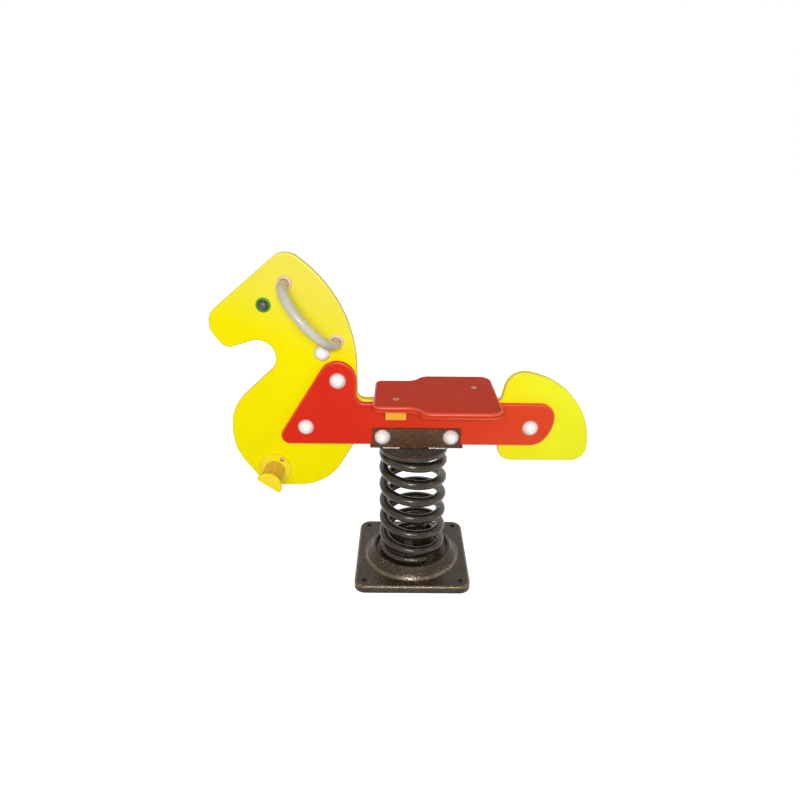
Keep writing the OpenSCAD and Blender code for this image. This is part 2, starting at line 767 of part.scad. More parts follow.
module footrest(side) color("#f2da1e") on_side(side) difference() {
    foot_frame() difference() {
        union() {
            cylinder(h = foot_flange_t, r = foot_flange_r);
            intersection() {
                rotate_extrude() polygon(foot_profile);
                translate([-foot_end_r - 1, 0, 0]) cube([2 * foot_end_r + 2, foot_end_r + 1, foot_reach]);
            }
        }
        intersection() {
            rotate_extrude() polygon([
                [0, foot_flange_t + foot_wall],
                [foot_tread_r - foot_wall, foot_flange_t + foot_wall],
                [foot_tread_r + foot_flare - foot_wall, foot_reach - foot_end_t - foot_wall],
                [0, foot_reach - foot_end_t - foot_wall]
            ]);
            translate([-foot_end_r, -1, 0]) cube([2 * foot_end_r, foot_end_r, foot_reach]);
        }
    }
    foot_screw_spots() crossbar(0, 0, -foot_flange_t - 1, 1, foot_screw_d + bore_fit);
}

module footrest_screws() color("silver") for (side = [-1, 1]) on_side(side) foot_screw_spots()
    translate([0, -foot_flange_t, 0])
        rotate([90, 0, 0])
            domed_screw(2 * foot_screw_d, foot_screw_d * 0.6, foot_screw_d, foot_flange_t + foot_screw_bite);

// Eyes

module eye_frame() for (side = [-1, 1]) on_side(side)
    translate([eye_at.x, -core_face, eye_at.y])
        rotate([90, 0, 0])
            children();

module eye_rims() color("#3c8c3c") eye_frame() rotate_extrude() polygon([
    [(eye_stem_d + bore_fit) / 2, 0],
    [eye_rim_d / 2, 0],
    [eye_rim_d / 2, eye_rim_t / 2],
    [eye_rim_d / 2 - eye_rim_t / 2, eye_rim_t],
    [(eye_stem_d + bore_fit) / 2, eye_rim_t]
]);

module eye_pupils() color("#46463f") eye_frame() translate([0, 0, eye_rim_t])
    domed_screw(eye_pupil_d, eye_pupil_h, eye_stem_d, eye_rim_t + eye_stem_bite);

// Through bolts and their caps

module bolt_spots(side) for (b = bolts)
    on_side(side) translate([b[0], -b[2], b[1]]) rotate([90, 0, 0]) children();

module through_bolts() color("silver") for (b = bolts) {
    reach = b[2] + cap_base_t;
    crossbar(b[0], b[1], -reach, reach + nut_h + bolt_tail, bolt_d);
    translate([b[0], -reach, b[1]])
        rotate([90, 0, 0])
            cylinder(h = bolt_head_h, d = hex_w / cos(30), $fn = 6);
}

module through_nuts() color("silver") bolt_spots(1) translate([0, 0, cap_base_t]) difference() {
    cylinder(h = nut_h, d = hex_w / cos(30), $fn = 6);
    translate([0, 0, -1]) cylinder(h = nut_h + 2, d = bolt_d + bore_fit);
}

module cap_bases() color("#f4f4ee") for (side = [-1, 1]) bolt_spots(side) rotate_extrude() polygon([
    [(bolt_d + hole_fit) / 2, 0],
    [cap_base_d / 2, 0],
    [cap_base_d / 2, cap_base_t / 2],
    [cap_base_d / 2 - cap_base_t / 2, cap_base_t],
    [(bolt_d + hole_fit) / 2, cap_base_t]
]);

module caps(side) color("white") bolt_spots(side) translate([0, 0, cap_base_t]) {
    ball = (cap_dome_d * cap_dome_d / 4 + cap_dome_h * cap_dome_h) / (2 * cap_dome_h);
    difference() {
        translate([0, 0, cap_dome_h - ball]) sphere(ball);
        translate([0, 0, cap_dome_h - ball]) sphere(ball - cap_wall);
        translate([0, 0, -ball]) cube(2 * ball, center = true);
    }
}

echo(least_spring_gap = coil_gap);

base_plate();
lower_clamps();
lower_clamp_bolts();
lower_clamp_nuts();
spring();
spring_top_plate();
upper_clamps();
upper_clamp_bolts();
saddle();
head_sheet();
tail_sheet();
side_plate(-1);  // near_side_plate
side_plate(1);  // far_side_plate
seat();
seat_blocks();
seat_screws();
block_screws();
handle(-1);  // near_handle
handle(1);  // far_handle
rosettes(-1);  // near_rosettes
rosettes(1);  // far_rosettes
handle_studs();
footrest(-1);  // near_footrest
footrest(1);  // far_footrest
footrest_screws();
eye_rims();
eye_pupils();
through_bolts();
through_nuts();
cap_bases();
caps(-1);  // near_caps
caps(1);  // far_caps
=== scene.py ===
import math
import bmesh
import bpy
from mathutils import Matrix, Vector


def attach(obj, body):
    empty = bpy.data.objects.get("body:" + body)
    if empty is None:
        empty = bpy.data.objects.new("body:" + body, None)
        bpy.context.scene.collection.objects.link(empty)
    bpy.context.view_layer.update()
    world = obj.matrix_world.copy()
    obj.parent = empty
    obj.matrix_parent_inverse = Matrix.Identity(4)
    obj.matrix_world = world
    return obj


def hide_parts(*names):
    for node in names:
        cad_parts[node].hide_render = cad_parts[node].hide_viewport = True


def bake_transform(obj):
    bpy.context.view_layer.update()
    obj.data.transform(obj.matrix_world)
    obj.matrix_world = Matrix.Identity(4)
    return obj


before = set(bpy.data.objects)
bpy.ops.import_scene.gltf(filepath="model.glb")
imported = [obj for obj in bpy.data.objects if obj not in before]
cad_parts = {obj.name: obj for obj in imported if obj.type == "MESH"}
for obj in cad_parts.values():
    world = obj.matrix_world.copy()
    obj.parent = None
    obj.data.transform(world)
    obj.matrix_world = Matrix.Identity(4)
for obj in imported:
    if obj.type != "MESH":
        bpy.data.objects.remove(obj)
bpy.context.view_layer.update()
print("frame loaded with", len(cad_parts), "nodes")

# heights above the ground and depths from the middle plane, in millimetres like every size below
heights = {"plate": 20, "springSeat": 34, "disc": 342.6, "saddle": 354.6, "beam": 360.6, "beamTop": 472.6,
           "coreTop": 476.6, "seatTop": 491.6}
depths = {"core": 10, "side": 25, "cheek": 31}
sides = {"near": -1, "far": 1}
toMetres = Matrix.Scale(0.001, 4)
mirrorY = Matrix.Scale(-1, 4, (0, 1, 0))
quarterTurn = Matrix.Rotation(math.radians(90), 4, "X")


# camera and lamps

shot = {"lens": 26.09, "sensor": 36, "sight": 50,
        "place": (-35.3, -1348.1, 1008.6), "tilt": 21.67, "roll": 0.47}
camera = bpy.data.objects.new("photoCamera", bpy.data.cameras.new("photoCamera"))
bpy.context.scene.collection.objects.link(camera)
camera.data.lens = shot["lens"]
camera.data.sensor_width = shot["sensor"]
camera.data.clip_end = shot["sight"]
camera.matrix_world = (
    Matrix.Translation(Vector(shot["place"]) * 0.001)
    @ Matrix.Rotation(math.radians(90 - shot["tilt"]), 4, "X")
    @ Matrix.Rotation(math.radians(shot["roll"]), 4, "Z")
)
bpy.context.scene.camera = camera
bpy.context.scene.view_settings.view_transform = "Standard"

# places and sizes of the lamps are in metres
lamps = [
    {"name": "flash", "place": (-0.05, -2.02, 1.29), "aim": (0, 0, 0.42), "size": (0.8, 0.24), "power": 25},
    {"name": "leftSoftbox", "place": (-0.7, -2.6, 1.7), "aim": (0, 0, 0.45), "size": (1.6, 1.2), "power": 10},
    {"name": "rightFill", "place": (2.4, -1.0, 1.0), "aim": (0, 0, 0.5), "size": (1.0, 1.6), "power": 5},
    {"name": "backFill", "place": (-0.4, 2.6, 0.9), "aim": (0, 0, 0.4), "size": (1.6, 1.2), "power": 12,
     "shine": False},
]
for lamp in lamps:
    light = bpy.data.lights.new(lamp["name"], "AREA")
    light.shape = "RECTANGLE"
    light.size, light.size_y = lamp["size"]
    light.energy = lamp["power"]
    holder = bpy.data.objects.new(lamp["name"], light)
    holder.location = lamp["place"]
    towards = Vector(lamp["aim"]) - Vector(lamp["place"])
    holder.rotation_euler = towards.to_track_quat("-Z", "Y").to_euler()
    holder.visible_glossy = lamp.get("shine", True)
    bpy.context.scene.collection.objects.link(holder)


# shader helpers: a Wire is one output socket, and sums on wires add Math nodes

class Wire:
    def __init__(self, maker, socket):
        self.maker = maker
        self.socket = socket

    def __add__(self, other):
        return self.maker.sum("ADD", self, other)

    def __radd__(self, other):
        return self.maker.sum("ADD", other, self)

    def __mul__(self, other):
        return self.maker.sum("MULTIPLY", self, other)


class NodeMaker:
    def __init__(self, tree):
        self.tree = tree
        tree.nodes.clear()

    def add(self, kind, sockets=None, out=0, **settings):
        node = self.tree.nodes.new(kind)
        for key, value in settings.items():
            setattr(node, key, value)
        for key, value in (sockets or {}).items():
            if isinstance(value, Wire):
                self.tree.links.new(value.socket, node.inputs[key])
            else:
                node.inputs[key].default_value = value
        return Wire(self, node.outputs[out] if len(node.outputs) else None)

    def sum(self, operation, a, b):
        return self.add("ShaderNodeMath", {0: a, 1: b}, operation=operation)

    def mix(self, share, a, b):  # colours
        return self.add("ShaderNodeMix", {0: share, 6: a, 7: b}, 2, data_type="RGBA")

    def where(self, stretch=(1, 1, 1)):
        spot = self.add("ShaderNodeTexCoord", out="Object")
        return self.add("ShaderNodeMapping", {"Vector": spot, "Scale": stretch})

    def noise(self, scale, detail=2, rough=0.5, stretch=(1, 1, 1)):
        place = self.where(stretch)
        return self.add("ShaderNodeTexNoise", {"Vector": place, "Scale": scale, "Detail": detail,
                                               "Roughness": rough})

    def dimples(self, scale):
        return self.add("ShaderNodeTexVoronoi", {"Vector": self.where(), "Scale": scale}, feature="SMOOTH_F1")

    def band(self, wire, low, high):  # 0 at low, 1 at high
        return self.add("ShaderNodeMapRange", {"Value": wire, "From Min": low, "From Max": high},
                        interpolation_type="SMOOTHSTEP")

    def along(self, axis):  # one object coordinate, in metres
        spot = self.add("ShaderNodeTexCoord", out="Object")
        return self.add("ShaderNodeSeparateXYZ", {0: spot}, axis)

    def bump(self, height, strength, distance):
        return self.add("ShaderNodeBump", {"Height": height, "Strength": strength, "Distance": distance})


def linear(channel):  # one channel of a screen colour, from 0 to 255, as linear light
    share = channel / 255
    return share / 12.92 if channel < 10.3 else ((share + 0.055) / 1.055) ** 2.4


def tone(red, green, blue):
    return (linear(red), linear(green), linear(blue), 1)


def newFinish(name):
    material = bpy.data.materials.new(name)
    material.use_nodes = True
    return material, NodeMaker(material.node_tree)


def closeFinish(maker, colour, roughness, normal, fixed):
    sockets = {"Base Color": colour, "Roughness": roughness, "Normal": normal, **fixed}
    shader = maker.add("ShaderNodeBsdfPrincipled", sockets)
    maker.add("ShaderNodeOutputMaterial", {"Surface": shader})


# world and floor

studio = {"ambient": 0.38, "floorGlow": 0.86, "floorReach": 8, "floorDrop": 0.0006}
white = (1, 1, 1, 1)


def seenDirectly(maker):  # 1 for what the camera sees straight, mirrored or through glass
    straight = maker.add("ShaderNodeLightPath", out="Is Camera Ray")
    mirrored = maker.add("ShaderNodeLightPath", out="Is Glossy Ray")
    through = maker.add("ShaderNodeLightPath", out="Is Transmission Ray")
    return maker.add("ShaderNodeClamp", {0: straight + mirrored + through})


world = bpy.data.worlds.new("studio")
bpy.context.scene.world = world
world.use_nodes = True
sky = NodeMaker(world.node_tree)
skyLight = seenDirectly(sky) * (1 - studio["ambient"]) + studio["ambient"]
backdrop = sky.add("ShaderNodeBackground", {"Color": white, "Strength": skyLight})
sky.add("ShaderNodeOutputWorld", {"Surface": backdrop})

floorPaint, paint = newFinish("floorPaint")
grey = paint.mix(paint.noise(3), (0.52, 0.52, 0.52, 1), (0.55, 0.55, 0.55, 1))
lit = paint.add("ShaderNodeBsdfDiffuse", {"Color": grey})
floorLight = seenDirectly(paint) * studio["floorGlow"]
glow = paint.add("ShaderNodeEmission", {"Color": white, "Strength": floorLight})
both = paint.add("ShaderNodeAddShader", {0: lit, 1: glow})
paint.add("ShaderNodeOutputMaterial", {"Surface": both})

floorMesh = bmesh.new()
bmesh.ops.create_grid(floorMesh, x_segments=1, y_segments=1, size=studio["floorReach"])
bmesh.ops.translate(floorMesh, vec=(0, 0, -studio["floorDrop"]), verts=floorMesh.verts)
floorData = bpy.data.meshes.new("floor")
floorMesh.to_mesh(floorData)
floorMesh.free()
floorData.materials.append(floorPaint)
floor = bpy.data.objects.new("floor", floorData)
bpy.context.scene.collection.objects.link(floor)
print("camera, lights and floor ready")


# finishes

def sheetFinish(name, plain, far, farLightFrom, farLightTo, high=None, rough=0.42, shine=0.12):
    material, m = newFinish(name)  # polyethylene sheet: fine grain, faint mottling, a few scuffs, with painted light along x and a painted sheen
    mottled = m.band(m.noise(9, 3), 0.35, 0.7)
    scuff = m.band(m.noise(55, 4, 0.7, (1, 1, 0.12)), 0.62, 0.72) * m.band(m.noise(7, 2), 0.5, 0.62)
    # painted light: the colour shifts along x from the plain tone to the far tone
    colour = m.mix(m.band(m.along(0), farLightFrom, farLightTo), tone(*plain), tone(*far))
    if high:  # painted sheen: paler towards the head's top right
        sheenMask = m.band(m.along(2) + m.along(0) * 0.45, 0.46, 0.68) * m.band(m.along(2), 0.56, 0.62)
        colour = m.mix(sheenMask, colour, tone(*high))
    colour = m.mix(mottled * 0.22, colour, tone(*[c * 0.93 for c in plain]))
    colour = m.mix(scuff * 0.025, colour, (0.9, 0.88, 0.8, 1))
    grain = m.noise(1500, 2, 0.6) + m.noise(420, 2) * 0.6
    roughness = rough + m.noise(30, 3) * 0.16 + scuff * 0.15
    closeFinish(m, colour, roughness, m.bump(grain, 0.12, 0.0004), {"Specular IOR Level": shine})
    return material


def hammeredFinish(name, dark, bronze, rough=0.2, shine=0.4):
    material, m = newFinish(name)  # hammered paint: dimples with bronze flecks and pale worn spots
    fleck = m.band(m.noise(240, 4, 0.7), 0.5, 0.66)
    patch = m.band(m.noise(28, 3), 0.36, 0.66)
    colour = m.mix(fleck * (0.4 + patch * 0.55), tone(*dark), tone(*bronze))
    worn = m.band(m.noise(330, 3, 0.7), 0.66, 0.72) * m.band(m.noise(45, 2), 0.45, 0.65)
    colour = m.mix(worn * 0.5, colour, tone(196, 176, 148))
    height = m.dimples(210) + m.noise(300, 3) * 0.6
    closeFinish(m, colour, rough + m.noise(120, 2) * 0.14, m.bump(height, 0.36, 0.0012),
                {"Specular IOR Level": shine, "Specular Tint": (1, 0.9, 0.76, 1)})
    return material


def mouldedFinish(name, plain, shade, rough, grainScale=700, grainStrength=0.1, glintSpeck=None, footShade=None,
                  coat=0):
    material, m = newFinish(name)  # injection-moulded plastic
    clouds = m.band(m.noise(26, 3), 0.35, 0.7)
    specks = m.band(m.noise(240, 3, 0.7), 0.64, 0.72)
    colour = m.mix(clouds * 0.5, tone(*plain), tone(*shade))
    colour = m.mix(specks * 0.2, colour, tone(*[c * 0.8 for c in shade]))
    if glintSpeck:  # painted glints: pale specks
        colour = m.mix(m.band(m.noise(200, 3, 0.7), 0.52, 0.62) * 0.8, colour, tone(*glintSpeck))
    if footShade:  # painted shade: greyer and darker towards the middle plane, against the sheet's yellow bounce light
        colour = m.mix(m.band(m.sum("ABSOLUTE", m.along(1), 0), 0.075, 0.015), colour, tone(*footShade))
    grain = m.bump(m.noise(grainScale, 3), grainStrength, 0.0005)
    closeFinish(m, colour, rough + clouds * 0.1, grain, {"Coat Weight": coat})
    return material


def springFinish(name):
    material, m = newFinish(name)  # dark satin coat with rubbed patches and dust
    lighter = m.band(m.noise(38, 4, 0.65), 0.5, 0.72)
    dust = m.band(m.noise(260, 3, 0.7), 0.56, 0.72)
    colour = m.mix(lighter * 0.6, tone(30, 27, 21), tone(66, 51, 36))
    colour = m.mix(dust * 0.35, colour, tone(112, 96, 78))
    grain = m.noise(130, 3) + m.noise(420, 2) * 0.4
    closeFinish(m, colour, 0.1 + m.noise(70, 3) * 0.12, m.bump(grain, 0.6, 0.0012),
                {"Specular IOR Level": 0.55, "Specular Tint": (1, 0.88, 0.76, 1)})
    return material


def metalFinish(name, low, high, rough):
    material, m = newFinish(name)  # bare or plated metal
    turned = m.noise(160, 3, 0.6, (1, 1, 6))
    colour = m.mix(m.band(m.noise(300, 2), 0.4, 0.7), tone(*low), tone(*high))
    closeFinish(m, colour, rough + turned * 0.16, m.bump(turned, 0.1, 0.0003), {"Metallic": 1.0})
    return material


finishes = {
    "yellow": sheetFinish("yellowSheet", (250, 236, 0), (245, 247, 44), 0.05, 0.4, (243, 229, 86),
                          shine=0.04),
    # edge finishes: paler as cut edges are, and lighter still as a painted sheen
    "yellowEdge": sheetFinish("yellowEdge", (240, 224, 40), (238, 236, 60), 0.05, 0.4, (244, 236, 90),
                              rough=0.24, shine=0.5),
    "red": sheetFinish("redSheet", (220, 42, 20), (226, 74, 38), -0.25, 0.35),
    "redEdge": sheetFinish("redEdge", (226, 62, 40), (230, 82, 54), -0.25, 0.35, rough=0.22, shine=0.45),
    # painted shade: the seat's red is darker than the side plates' red
    "seatRedShaded": sheetFinish("seatSheetShaded", (208, 52, 18), (203, 56, 24), -0.1, 0.25, shine=0.06),
    "base": hammeredFinish("hammeredBase", (44, 37, 25), (124, 107, 82), 0.18, 0.34),
    # worn edge paint with a painted highlight
    "baseEdge": hammeredFinish("rubbedEdge", (72, 58, 42), (190, 158, 118), 0.13, 0.8),
    "disc": hammeredFinish("hammeredDisc", (58, 50, 48), (116, 104, 98)),
    "saddle": hammeredFinish("hammeredSaddle", (70, 39, 17), (122, 80, 44)),
    "spring": springFinish("springCoat"),
    "handle": mouldedFinish("gripPlastic", (206, 201, 182), (188, 182, 162), 0.2, 500, 0.06,
                            footShade=(186, 172, 176)),
    "rosette": mouldedFinish("rosettePlastic", (232, 206, 168), (214, 184, 146), 0.4),
    "cap": mouldedFinish("capPlastic", (249, 248, 245), (238, 236, 232), 0.22, 300, 0.04, coat=0.3),
    # painted shade: the caps' white base ring is drawn darker and pinkish, a painted reflection of the red
    # plates
    "capBaseShaded": mouldedFinish("capRingShaded", (206, 182, 174), (190, 166, 158), 0.3, 300, 0.04),
    # painted shade: yellow plastic blocks drawn orange and darker, as in the shade under the seat
    "block": mouldedFinish("blockPlasticInShade", (242, 176, 30), (234, 160, 24), 0.45),
    # painted shade: a little darker than the sheets' yellow
    "footrest": mouldedFinish("footrestPlasticShaded", (246, 222, 0), (238, 208, 4), 0.3, 420, 0.1),
    "tread": mouldedFinish("treadPlastic", (228, 184, 50), (208, 160, 42), 0.45, 260, 0.6, (250, 226, 134)),
    "eyeGreen": mouldedFinish("eyeGreen", (58, 142, 60), (40, 116, 44), 0.3),
    "eyeDark": mouldedFinish("eyeDark", (80, 80, 72), (66, 66, 60), 0.3),
    "eyeEdgeShade": mouldedFinish("eyeEdgeShade", (18, 52, 26), (14, 40, 20), 0.25),
    "steel": metalFinish("boltSteel", (176, 176, 172), (206, 204, 196), 0.26),
    "dullSteel": metalFinish("dullSteel", (146, 118, 92), (208, 190, 164), 0.3),
}
print("finishes ready:", len(finishes))


# mesh helpers

sharpAngle = math.radians(38)  # steeper edges stay crisp in the shading
softAngle = math.radians(50)  # steeper edges are softened by a Bevel modifier
closeTogether = 0.005  # points this near are one point


def makePiece(name, bm, finish, body, stands, flatFaces=False, extra=()):
    bmesh.ops.remove_doubles(bm, verts=bm.verts, dist=closeTogether)
    bmesh.ops.recalc_face_normals(bm, faces=bm.faces)
    bmesh.ops.transform(bm, matrix=toMetres, verts=bm.verts)
    mesh = bpy.data.meshes.new(name)
    bm.to_mesh(mesh)
    bm.free()
    for key in [finish, *extra]:
        mesh.materials.append(finishes[key])
    mesh.polygons.foreach_set("use_smooth", [True] * len(mesh.polygons))
    mesh.set_sharp_from_angle(angle=sharpAngle)
    piece = bpy.data.objects.new(name, mesh)
    bpy.context.scene.collection.objects.link(piece)
    if flatFaces:  # keeps wide flat faces flat beside their rounded edges
        weighted = piece.modifiers.new("flatFaces", "WEIGHTED_NORMAL")
        weighted.keep_sharp = True
        weighted.weight = 100
    if body:
        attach(piece, body)
    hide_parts(*stands)
    return piece


def softenEdges(piece, width, segments):
    soften = piece.modifiers.new("softEdges", "BEVEL")
    soften.width = width * 0.001
    soften.segments = segments
    soften.limit_method = "ANGLE"
    soften.angle_limit = softAngle


def vertsOf(geometry):
    return [g for g in geometry if isinstance(g, bmesh.types.BMVert)]


def edgesOf(geometry):
    return [g for g in geometry if isinstance(g, bmesh.types.BMEdge)]


def levelEdges(bm):
    return [e for e in bm.edges if abs(e.verts[0].co.z - e.verts[1].co.z) < 0.01]


def roundEdges(bm, edges, radius, segments):
    rounded = bmesh.ops.bevel(bm, geom=edges, offset=radius, segments=segments, profile=0.5, affect="EDGES",
                              material=-1)
    return rounded["faces"]


def outlineLoop(bm, corners, step):  # corners of (x, y, radius), with arcs in steps of so many degrees
    firstVert = lastVert = None
    for i, (x, y, radius) in enumerate(corners):
        here = Vector((x, y))
        before = (here - Vector(corners[i - 1][:2])).normalized()
        after = (Vector(corners[(i + 1) % len(corners)][:2]) - here).normalized()
        turn = math.atan2(before.x * after.y - before.y * after.x, before.dot(after))
        start = here - before * radius * math.tan(abs(turn) / 2)
        centre = start + Vector((-before.y, before.x)) * radius * math.copysign(1, turn)
        vert = bm.verts.new((start.x, start.y, 0))
        if lastVert:
            bm.edges.new((lastVert, vert))
        firstVert = firstVert or vert
        swept = bmesh.ops.spin(bm, geom=[vert], cent=(centre.x, centre.y, 0), axis=(0, 0, 1), angle=turn,
                               steps=max(3, math.ceil(abs(math.degrees(turn)) / step)))
        lastVert = vertsOf(swept["geom_last"])[0]
    bm.edges.new((lastVert, firstVert))


def thickSheet(corners, thickness, edgeRound, step, edgeSlot=0):
    bm = bmesh.new()
    outlineLoop(bm, corners, step)
    flat = bmesh.ops.contextual_create(bm, geom=bm.edges[:])["faces"][0]
    raised = bmesh.ops.extrude_face_region(bm, geom=[flat])
    bmesh.ops.translate(bm, vec=(0, 0, thickness), verts=vertsOf(raised["geom"]))
    bmesh.ops.recalc_face_normals(bm, faces=bm.faces)
    for face in roundEdges(bm, levelEdges(bm), edgeRound, 4):
        face.material_index = edgeSlot
    return bm


def roundedBox(size, edgeRound):
    bm = bmesh.new()
    bmesh.ops.create_cube(bm, size=1)
    bmesh.ops.scale(bm, vec=size, verts=bm.verts)
    roundEdges(bm, bm.edges[:], edgeRound, 3)
    return bm


def lathe(profile, segments=48, angle=360):  # profile of (radius, height) about the z axis
    bm = bmesh.new()
    verts = [bm.verts.new((radius, 0, height)) for radius, height in profile]
    edges = [bm.edges.new(pair) for pair in zip(verts, verts[1:])]
    bmesh.ops.spin(bm, geom=verts + edges, cent=(0, 0, 0), axis=(0, 0, 1), angle=math.radians(angle),
                   steps=segments, use_merge=angle == 360)
    bmesh.ops.remove_doubles(bm, verts=bm.verts, dist=closeTogether)
    return bm


def arcPoints(radius, fromDegrees, toDegrees, steps, lift=0, shift=0):
    angles = [math.radians(fromDegrees + (toDegrees - fromDegrees) * k / steps) for k in range(steps + 1)]
    return [(shift + radius * math.cos(a), lift + radius * math.sin(a)) for a in angles]


def ringProfile(inner, outer, thick, edgeRound):  # a flat ring with a rounded upper edge
    arc = arcPoints(edgeRound, 0, 90, 5, thick - edgeRound, outer - edgeRound)
    return [(inner, 0), (outer, 0), (outer, thick - edgeRound)] + arc + [(inner, thick), (inner, 0)]


def ballRadius(radius, height):  # of the ball that a dome of this size is cut from
    return (radius ** 2 + height ** 2) / (2 * height)


def onSide(side, near):  # a place on the near side, or its mirror image
    return near if side < 0 else mirrorY @ near


def sidePlace(side, x, depth, rise):  # local z points out of the sheet, local y up
    return onSide(side, Matrix.Translation((x, -depth, heights["beam"] + rise)) @ quarterTurn)


def headPlace(side, spot, tilt):  # on the head sheet's face, leaning by the tilt
    x, rise = spot
    return onSide(side, Matrix.Translation((x, -depths["core"], heights["beam"] + rise))
                  @ Matrix.Rotation(math.radians(tilt), 4, "Y"))


def addCopy(bm, shape, place):  # puts one small mesh into a larger one
    mesh = bpy.data.meshes.new("part")
    shape.to_mesh(mesh)
    mesh.transform(place)
    bm.from_mesh(mesh)
    bpy.data.meshes.remove(mesh)


def copies(shape, places):  # one mesh with the shape at every place
    bm = bmesh.new()
    for place in places:
        addCopy(bm, shape, place)
    shape.free()
    return bm


# base plate

basePlate = {"width": 300, "corner": 30, "cornerStep": 9, "edgeRound": 6, "wall": 5,
             "holeSpacing": 248, "holeRadius": 7, "holeSteps": 24,
             "bossRadius": 17, "bossHeight": 15.5, "bossSteps": 32,
             "flank": [(131, 20), (129, 20.2), (127.2, 20.9), (125.8, 22.2), (122.4, 26.8), (119.2, 30.8),
                       (115.6, 34.5), (110.4, 39.3), (107.4, 42.2)],
             "crestRadius": 102, "crestRound": 5, "crestHeight": 46, "crestFrom": 46, "crestSteps": 8,
             "recess": [(97, 36), (96.5, 34.7), (95.4, 34.1), (94, 34), (60, 34), (0, 34)],
             "domeSteps": 96, "litRingRadii": (124, 131), "litRingSlope": (0.3, 0.97)}


def domeProfile(spec):
    crest = arcPoints(spec["crestRound"], spec["crestFrom"], 180, spec["crestSteps"],
                      spec["crestHeight"] - spec["crestRound"], spec["crestRadius"])
    return spec["flank"] + crest + spec["recess"]


def buildBase(spec):
    bm = lathe(domeProfile(spec), spec["domeSteps"])
    half, spots, hole = spec["width"] / 2, spec["holeSpacing"] / 2, spec["holeRadius"]
    holePlaces = [Matrix.Translation((x, y, 0)) for x in (-spots, spots) for y in (-spots, spots)]
    flat = bmesh.new()
    r = spec["corner"]
    square = [(-half, -half, r), (half, -half, r), (half, half, r), (-half, half, r)]
    outlineLoop(flat, square, spec["cornerStep"])
    for place in holePlaces:
        bmesh.ops.create_circle(flat, segments=spec["holeSteps"], radius=hole, matrix=place)
    addCopy(bm, flat, Matrix.Translation((0, 0, heights["plate"])))
    flat.free()
    rings = [e for e in bm.edges if e.is_wire] + [e for e in bm.edges if e.is_boundary]
    bmesh.ops.triangle_fill(bm, use_beauty=True, edges=rings, normal=(0, 0, 1))
    bmesh.ops.recalc_face_normals(bm, faces=bm.faces)
    outside = spots + hole + 1
    rim = [e for e in bm.edges if e.is_boundary and max(abs(c) for v in e.verts for c in v.co.xy) > outside]
    skirt = bmesh.ops.extrude_edge_only(bm, edges=rim)
    bmesh.ops.translate(bm, vec=(0, 0, -heights["plate"]), verts=vertsOf(skirt["geom"]))
    bmesh.ops.recalc_face_normals(bm, faces=bm.faces)
    if sum(f.normal.z * f.calc_area() for f in bm.faces) < 0:
        bmesh.ops.reverse_faces(bm, faces=bm.faces)
    # the rim's rounded edge: worn paint and a painted highlight
    lighter = roundEdges(bm, rim, spec["edgeRound"], 5)
    inner, outer = spec["litRingRadii"]
    steep, gentle = spec["litRingSlope"]
    for face in bm.faces:  # the dome's foot: a painted highlight ring
        if inner < face.calc_center_median().xy.length < outer and steep < face.normal.z < gentle:
            lighter.append(face)
    for face in lighter:
        face.material_index = 1
    bmesh.ops.solidify(bm, geom=bm.faces[:], thickness=spec["wall"])
    wide, tall = spec["bossRadius"], spec["bossHeight"]
    boss = lathe([(hole, 0), (wide, 0), (wide, tall), (hole, tall), (hole, 0)], spec["bossSteps"])
    for place in holePlaces:
        addCopy(bm, boss, place)
    boss.free()
    return makePiece("basePlate", bm, "base", "base", ["base_plate"], flatFaces=True,
                     extra=["baseEdge"])


buildBase(basePlate)
print("base plate built")


# coil spring, as two halves that meet at the middle

coil = {"outside": 177, "wire": 25, "length": 308, "turns": 6.67, "flatTurns": 0.25, "rampTurns": 0.45,
        "startAngle": 296, "gap": 0.3, "stepsPerTurn": 48, "sides": 24, "tipRound": 2,
        "heldEnd": 15, "heldMiddle": 14}


def coilClimb(turns):  # from one end, in pitches: flat at first, then a ramp to the full pitch
    flat, ramp = coil["flatTurns"], coil["rampTurns"]
    if turns < flat:
        return 0
    if turns < flat + ramp:
        return (turns - flat) ** 2 / (2 * ramp)
    return turns - flat - ramp / 2


def coilRise(t):
    turns = coil["turns"]
    full = turns - 2 * coil["flatTurns"] - coil["rampTurns"]
    pitch = (coil["length"] - coil["wire"]) / full
    return pitch * (coilClimb(t) if t < turns / 2 else full - coilClimb(turns - t))


def buildCoilHalf(name, fromTurn, toTurn):
    bm = bmesh.new()
    middle = (coil["outside"] - coil["wire"]) / 2
    low = heights["springSeat"] + coil["gap"] + coil["wire"] / 2
    angle = math.radians(coil["startAngle"] - 360 * fromTurn)
    place = (Matrix.Rotation(angle, 4, "Z")
             @ Matrix.Translation((middle, 0, low + coilRise(fromTurn))) @ quarterTurn)
    bmesh.ops.create_circle(bm, segments=coil["sides"], radius=coil["wire"] / 2, matrix=place)
    ring = bm.edges[:]
    steps = round((toTurn - fromTurn) * coil["stepsPerTurn"])
    for k in range(steps):
        t0 = fromTurn + (toTurn - fromTurn) * k / steps
        t1 = fromTurn + (toTurn - fromTurn) * (k + 1) / steps
        climb = (0, 0, coilRise(t1) - coilRise(t0))
        swept = bmesh.ops.spin(bm, geom=ring, cent=(0, 0, 0), axis=(0, 0, 1), steps=1, dvec=climb,
                               angle=math.radians(-360 * (t1 - t0)))
        ring = edgesOf(swept["geom_last"])
    tip = ring if toTurn == coil["turns"] else [e for e in bm.edges if e.is_boundary and e not in ring]
    cut = bmesh.ops.contextual_create(bm, geom=tip)["faces"]
    roundEdges(bm, [e for f in cut for e in f.edges], coil["tipRound"], 3)
    bmesh.ops.holes_fill(bm, edges=[e for e in bm.edges if e.is_boundary])  # where the halves meet
    piece = makePiece(name, bm, "spring", None, ["spring"])
    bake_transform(piece)
    return piece


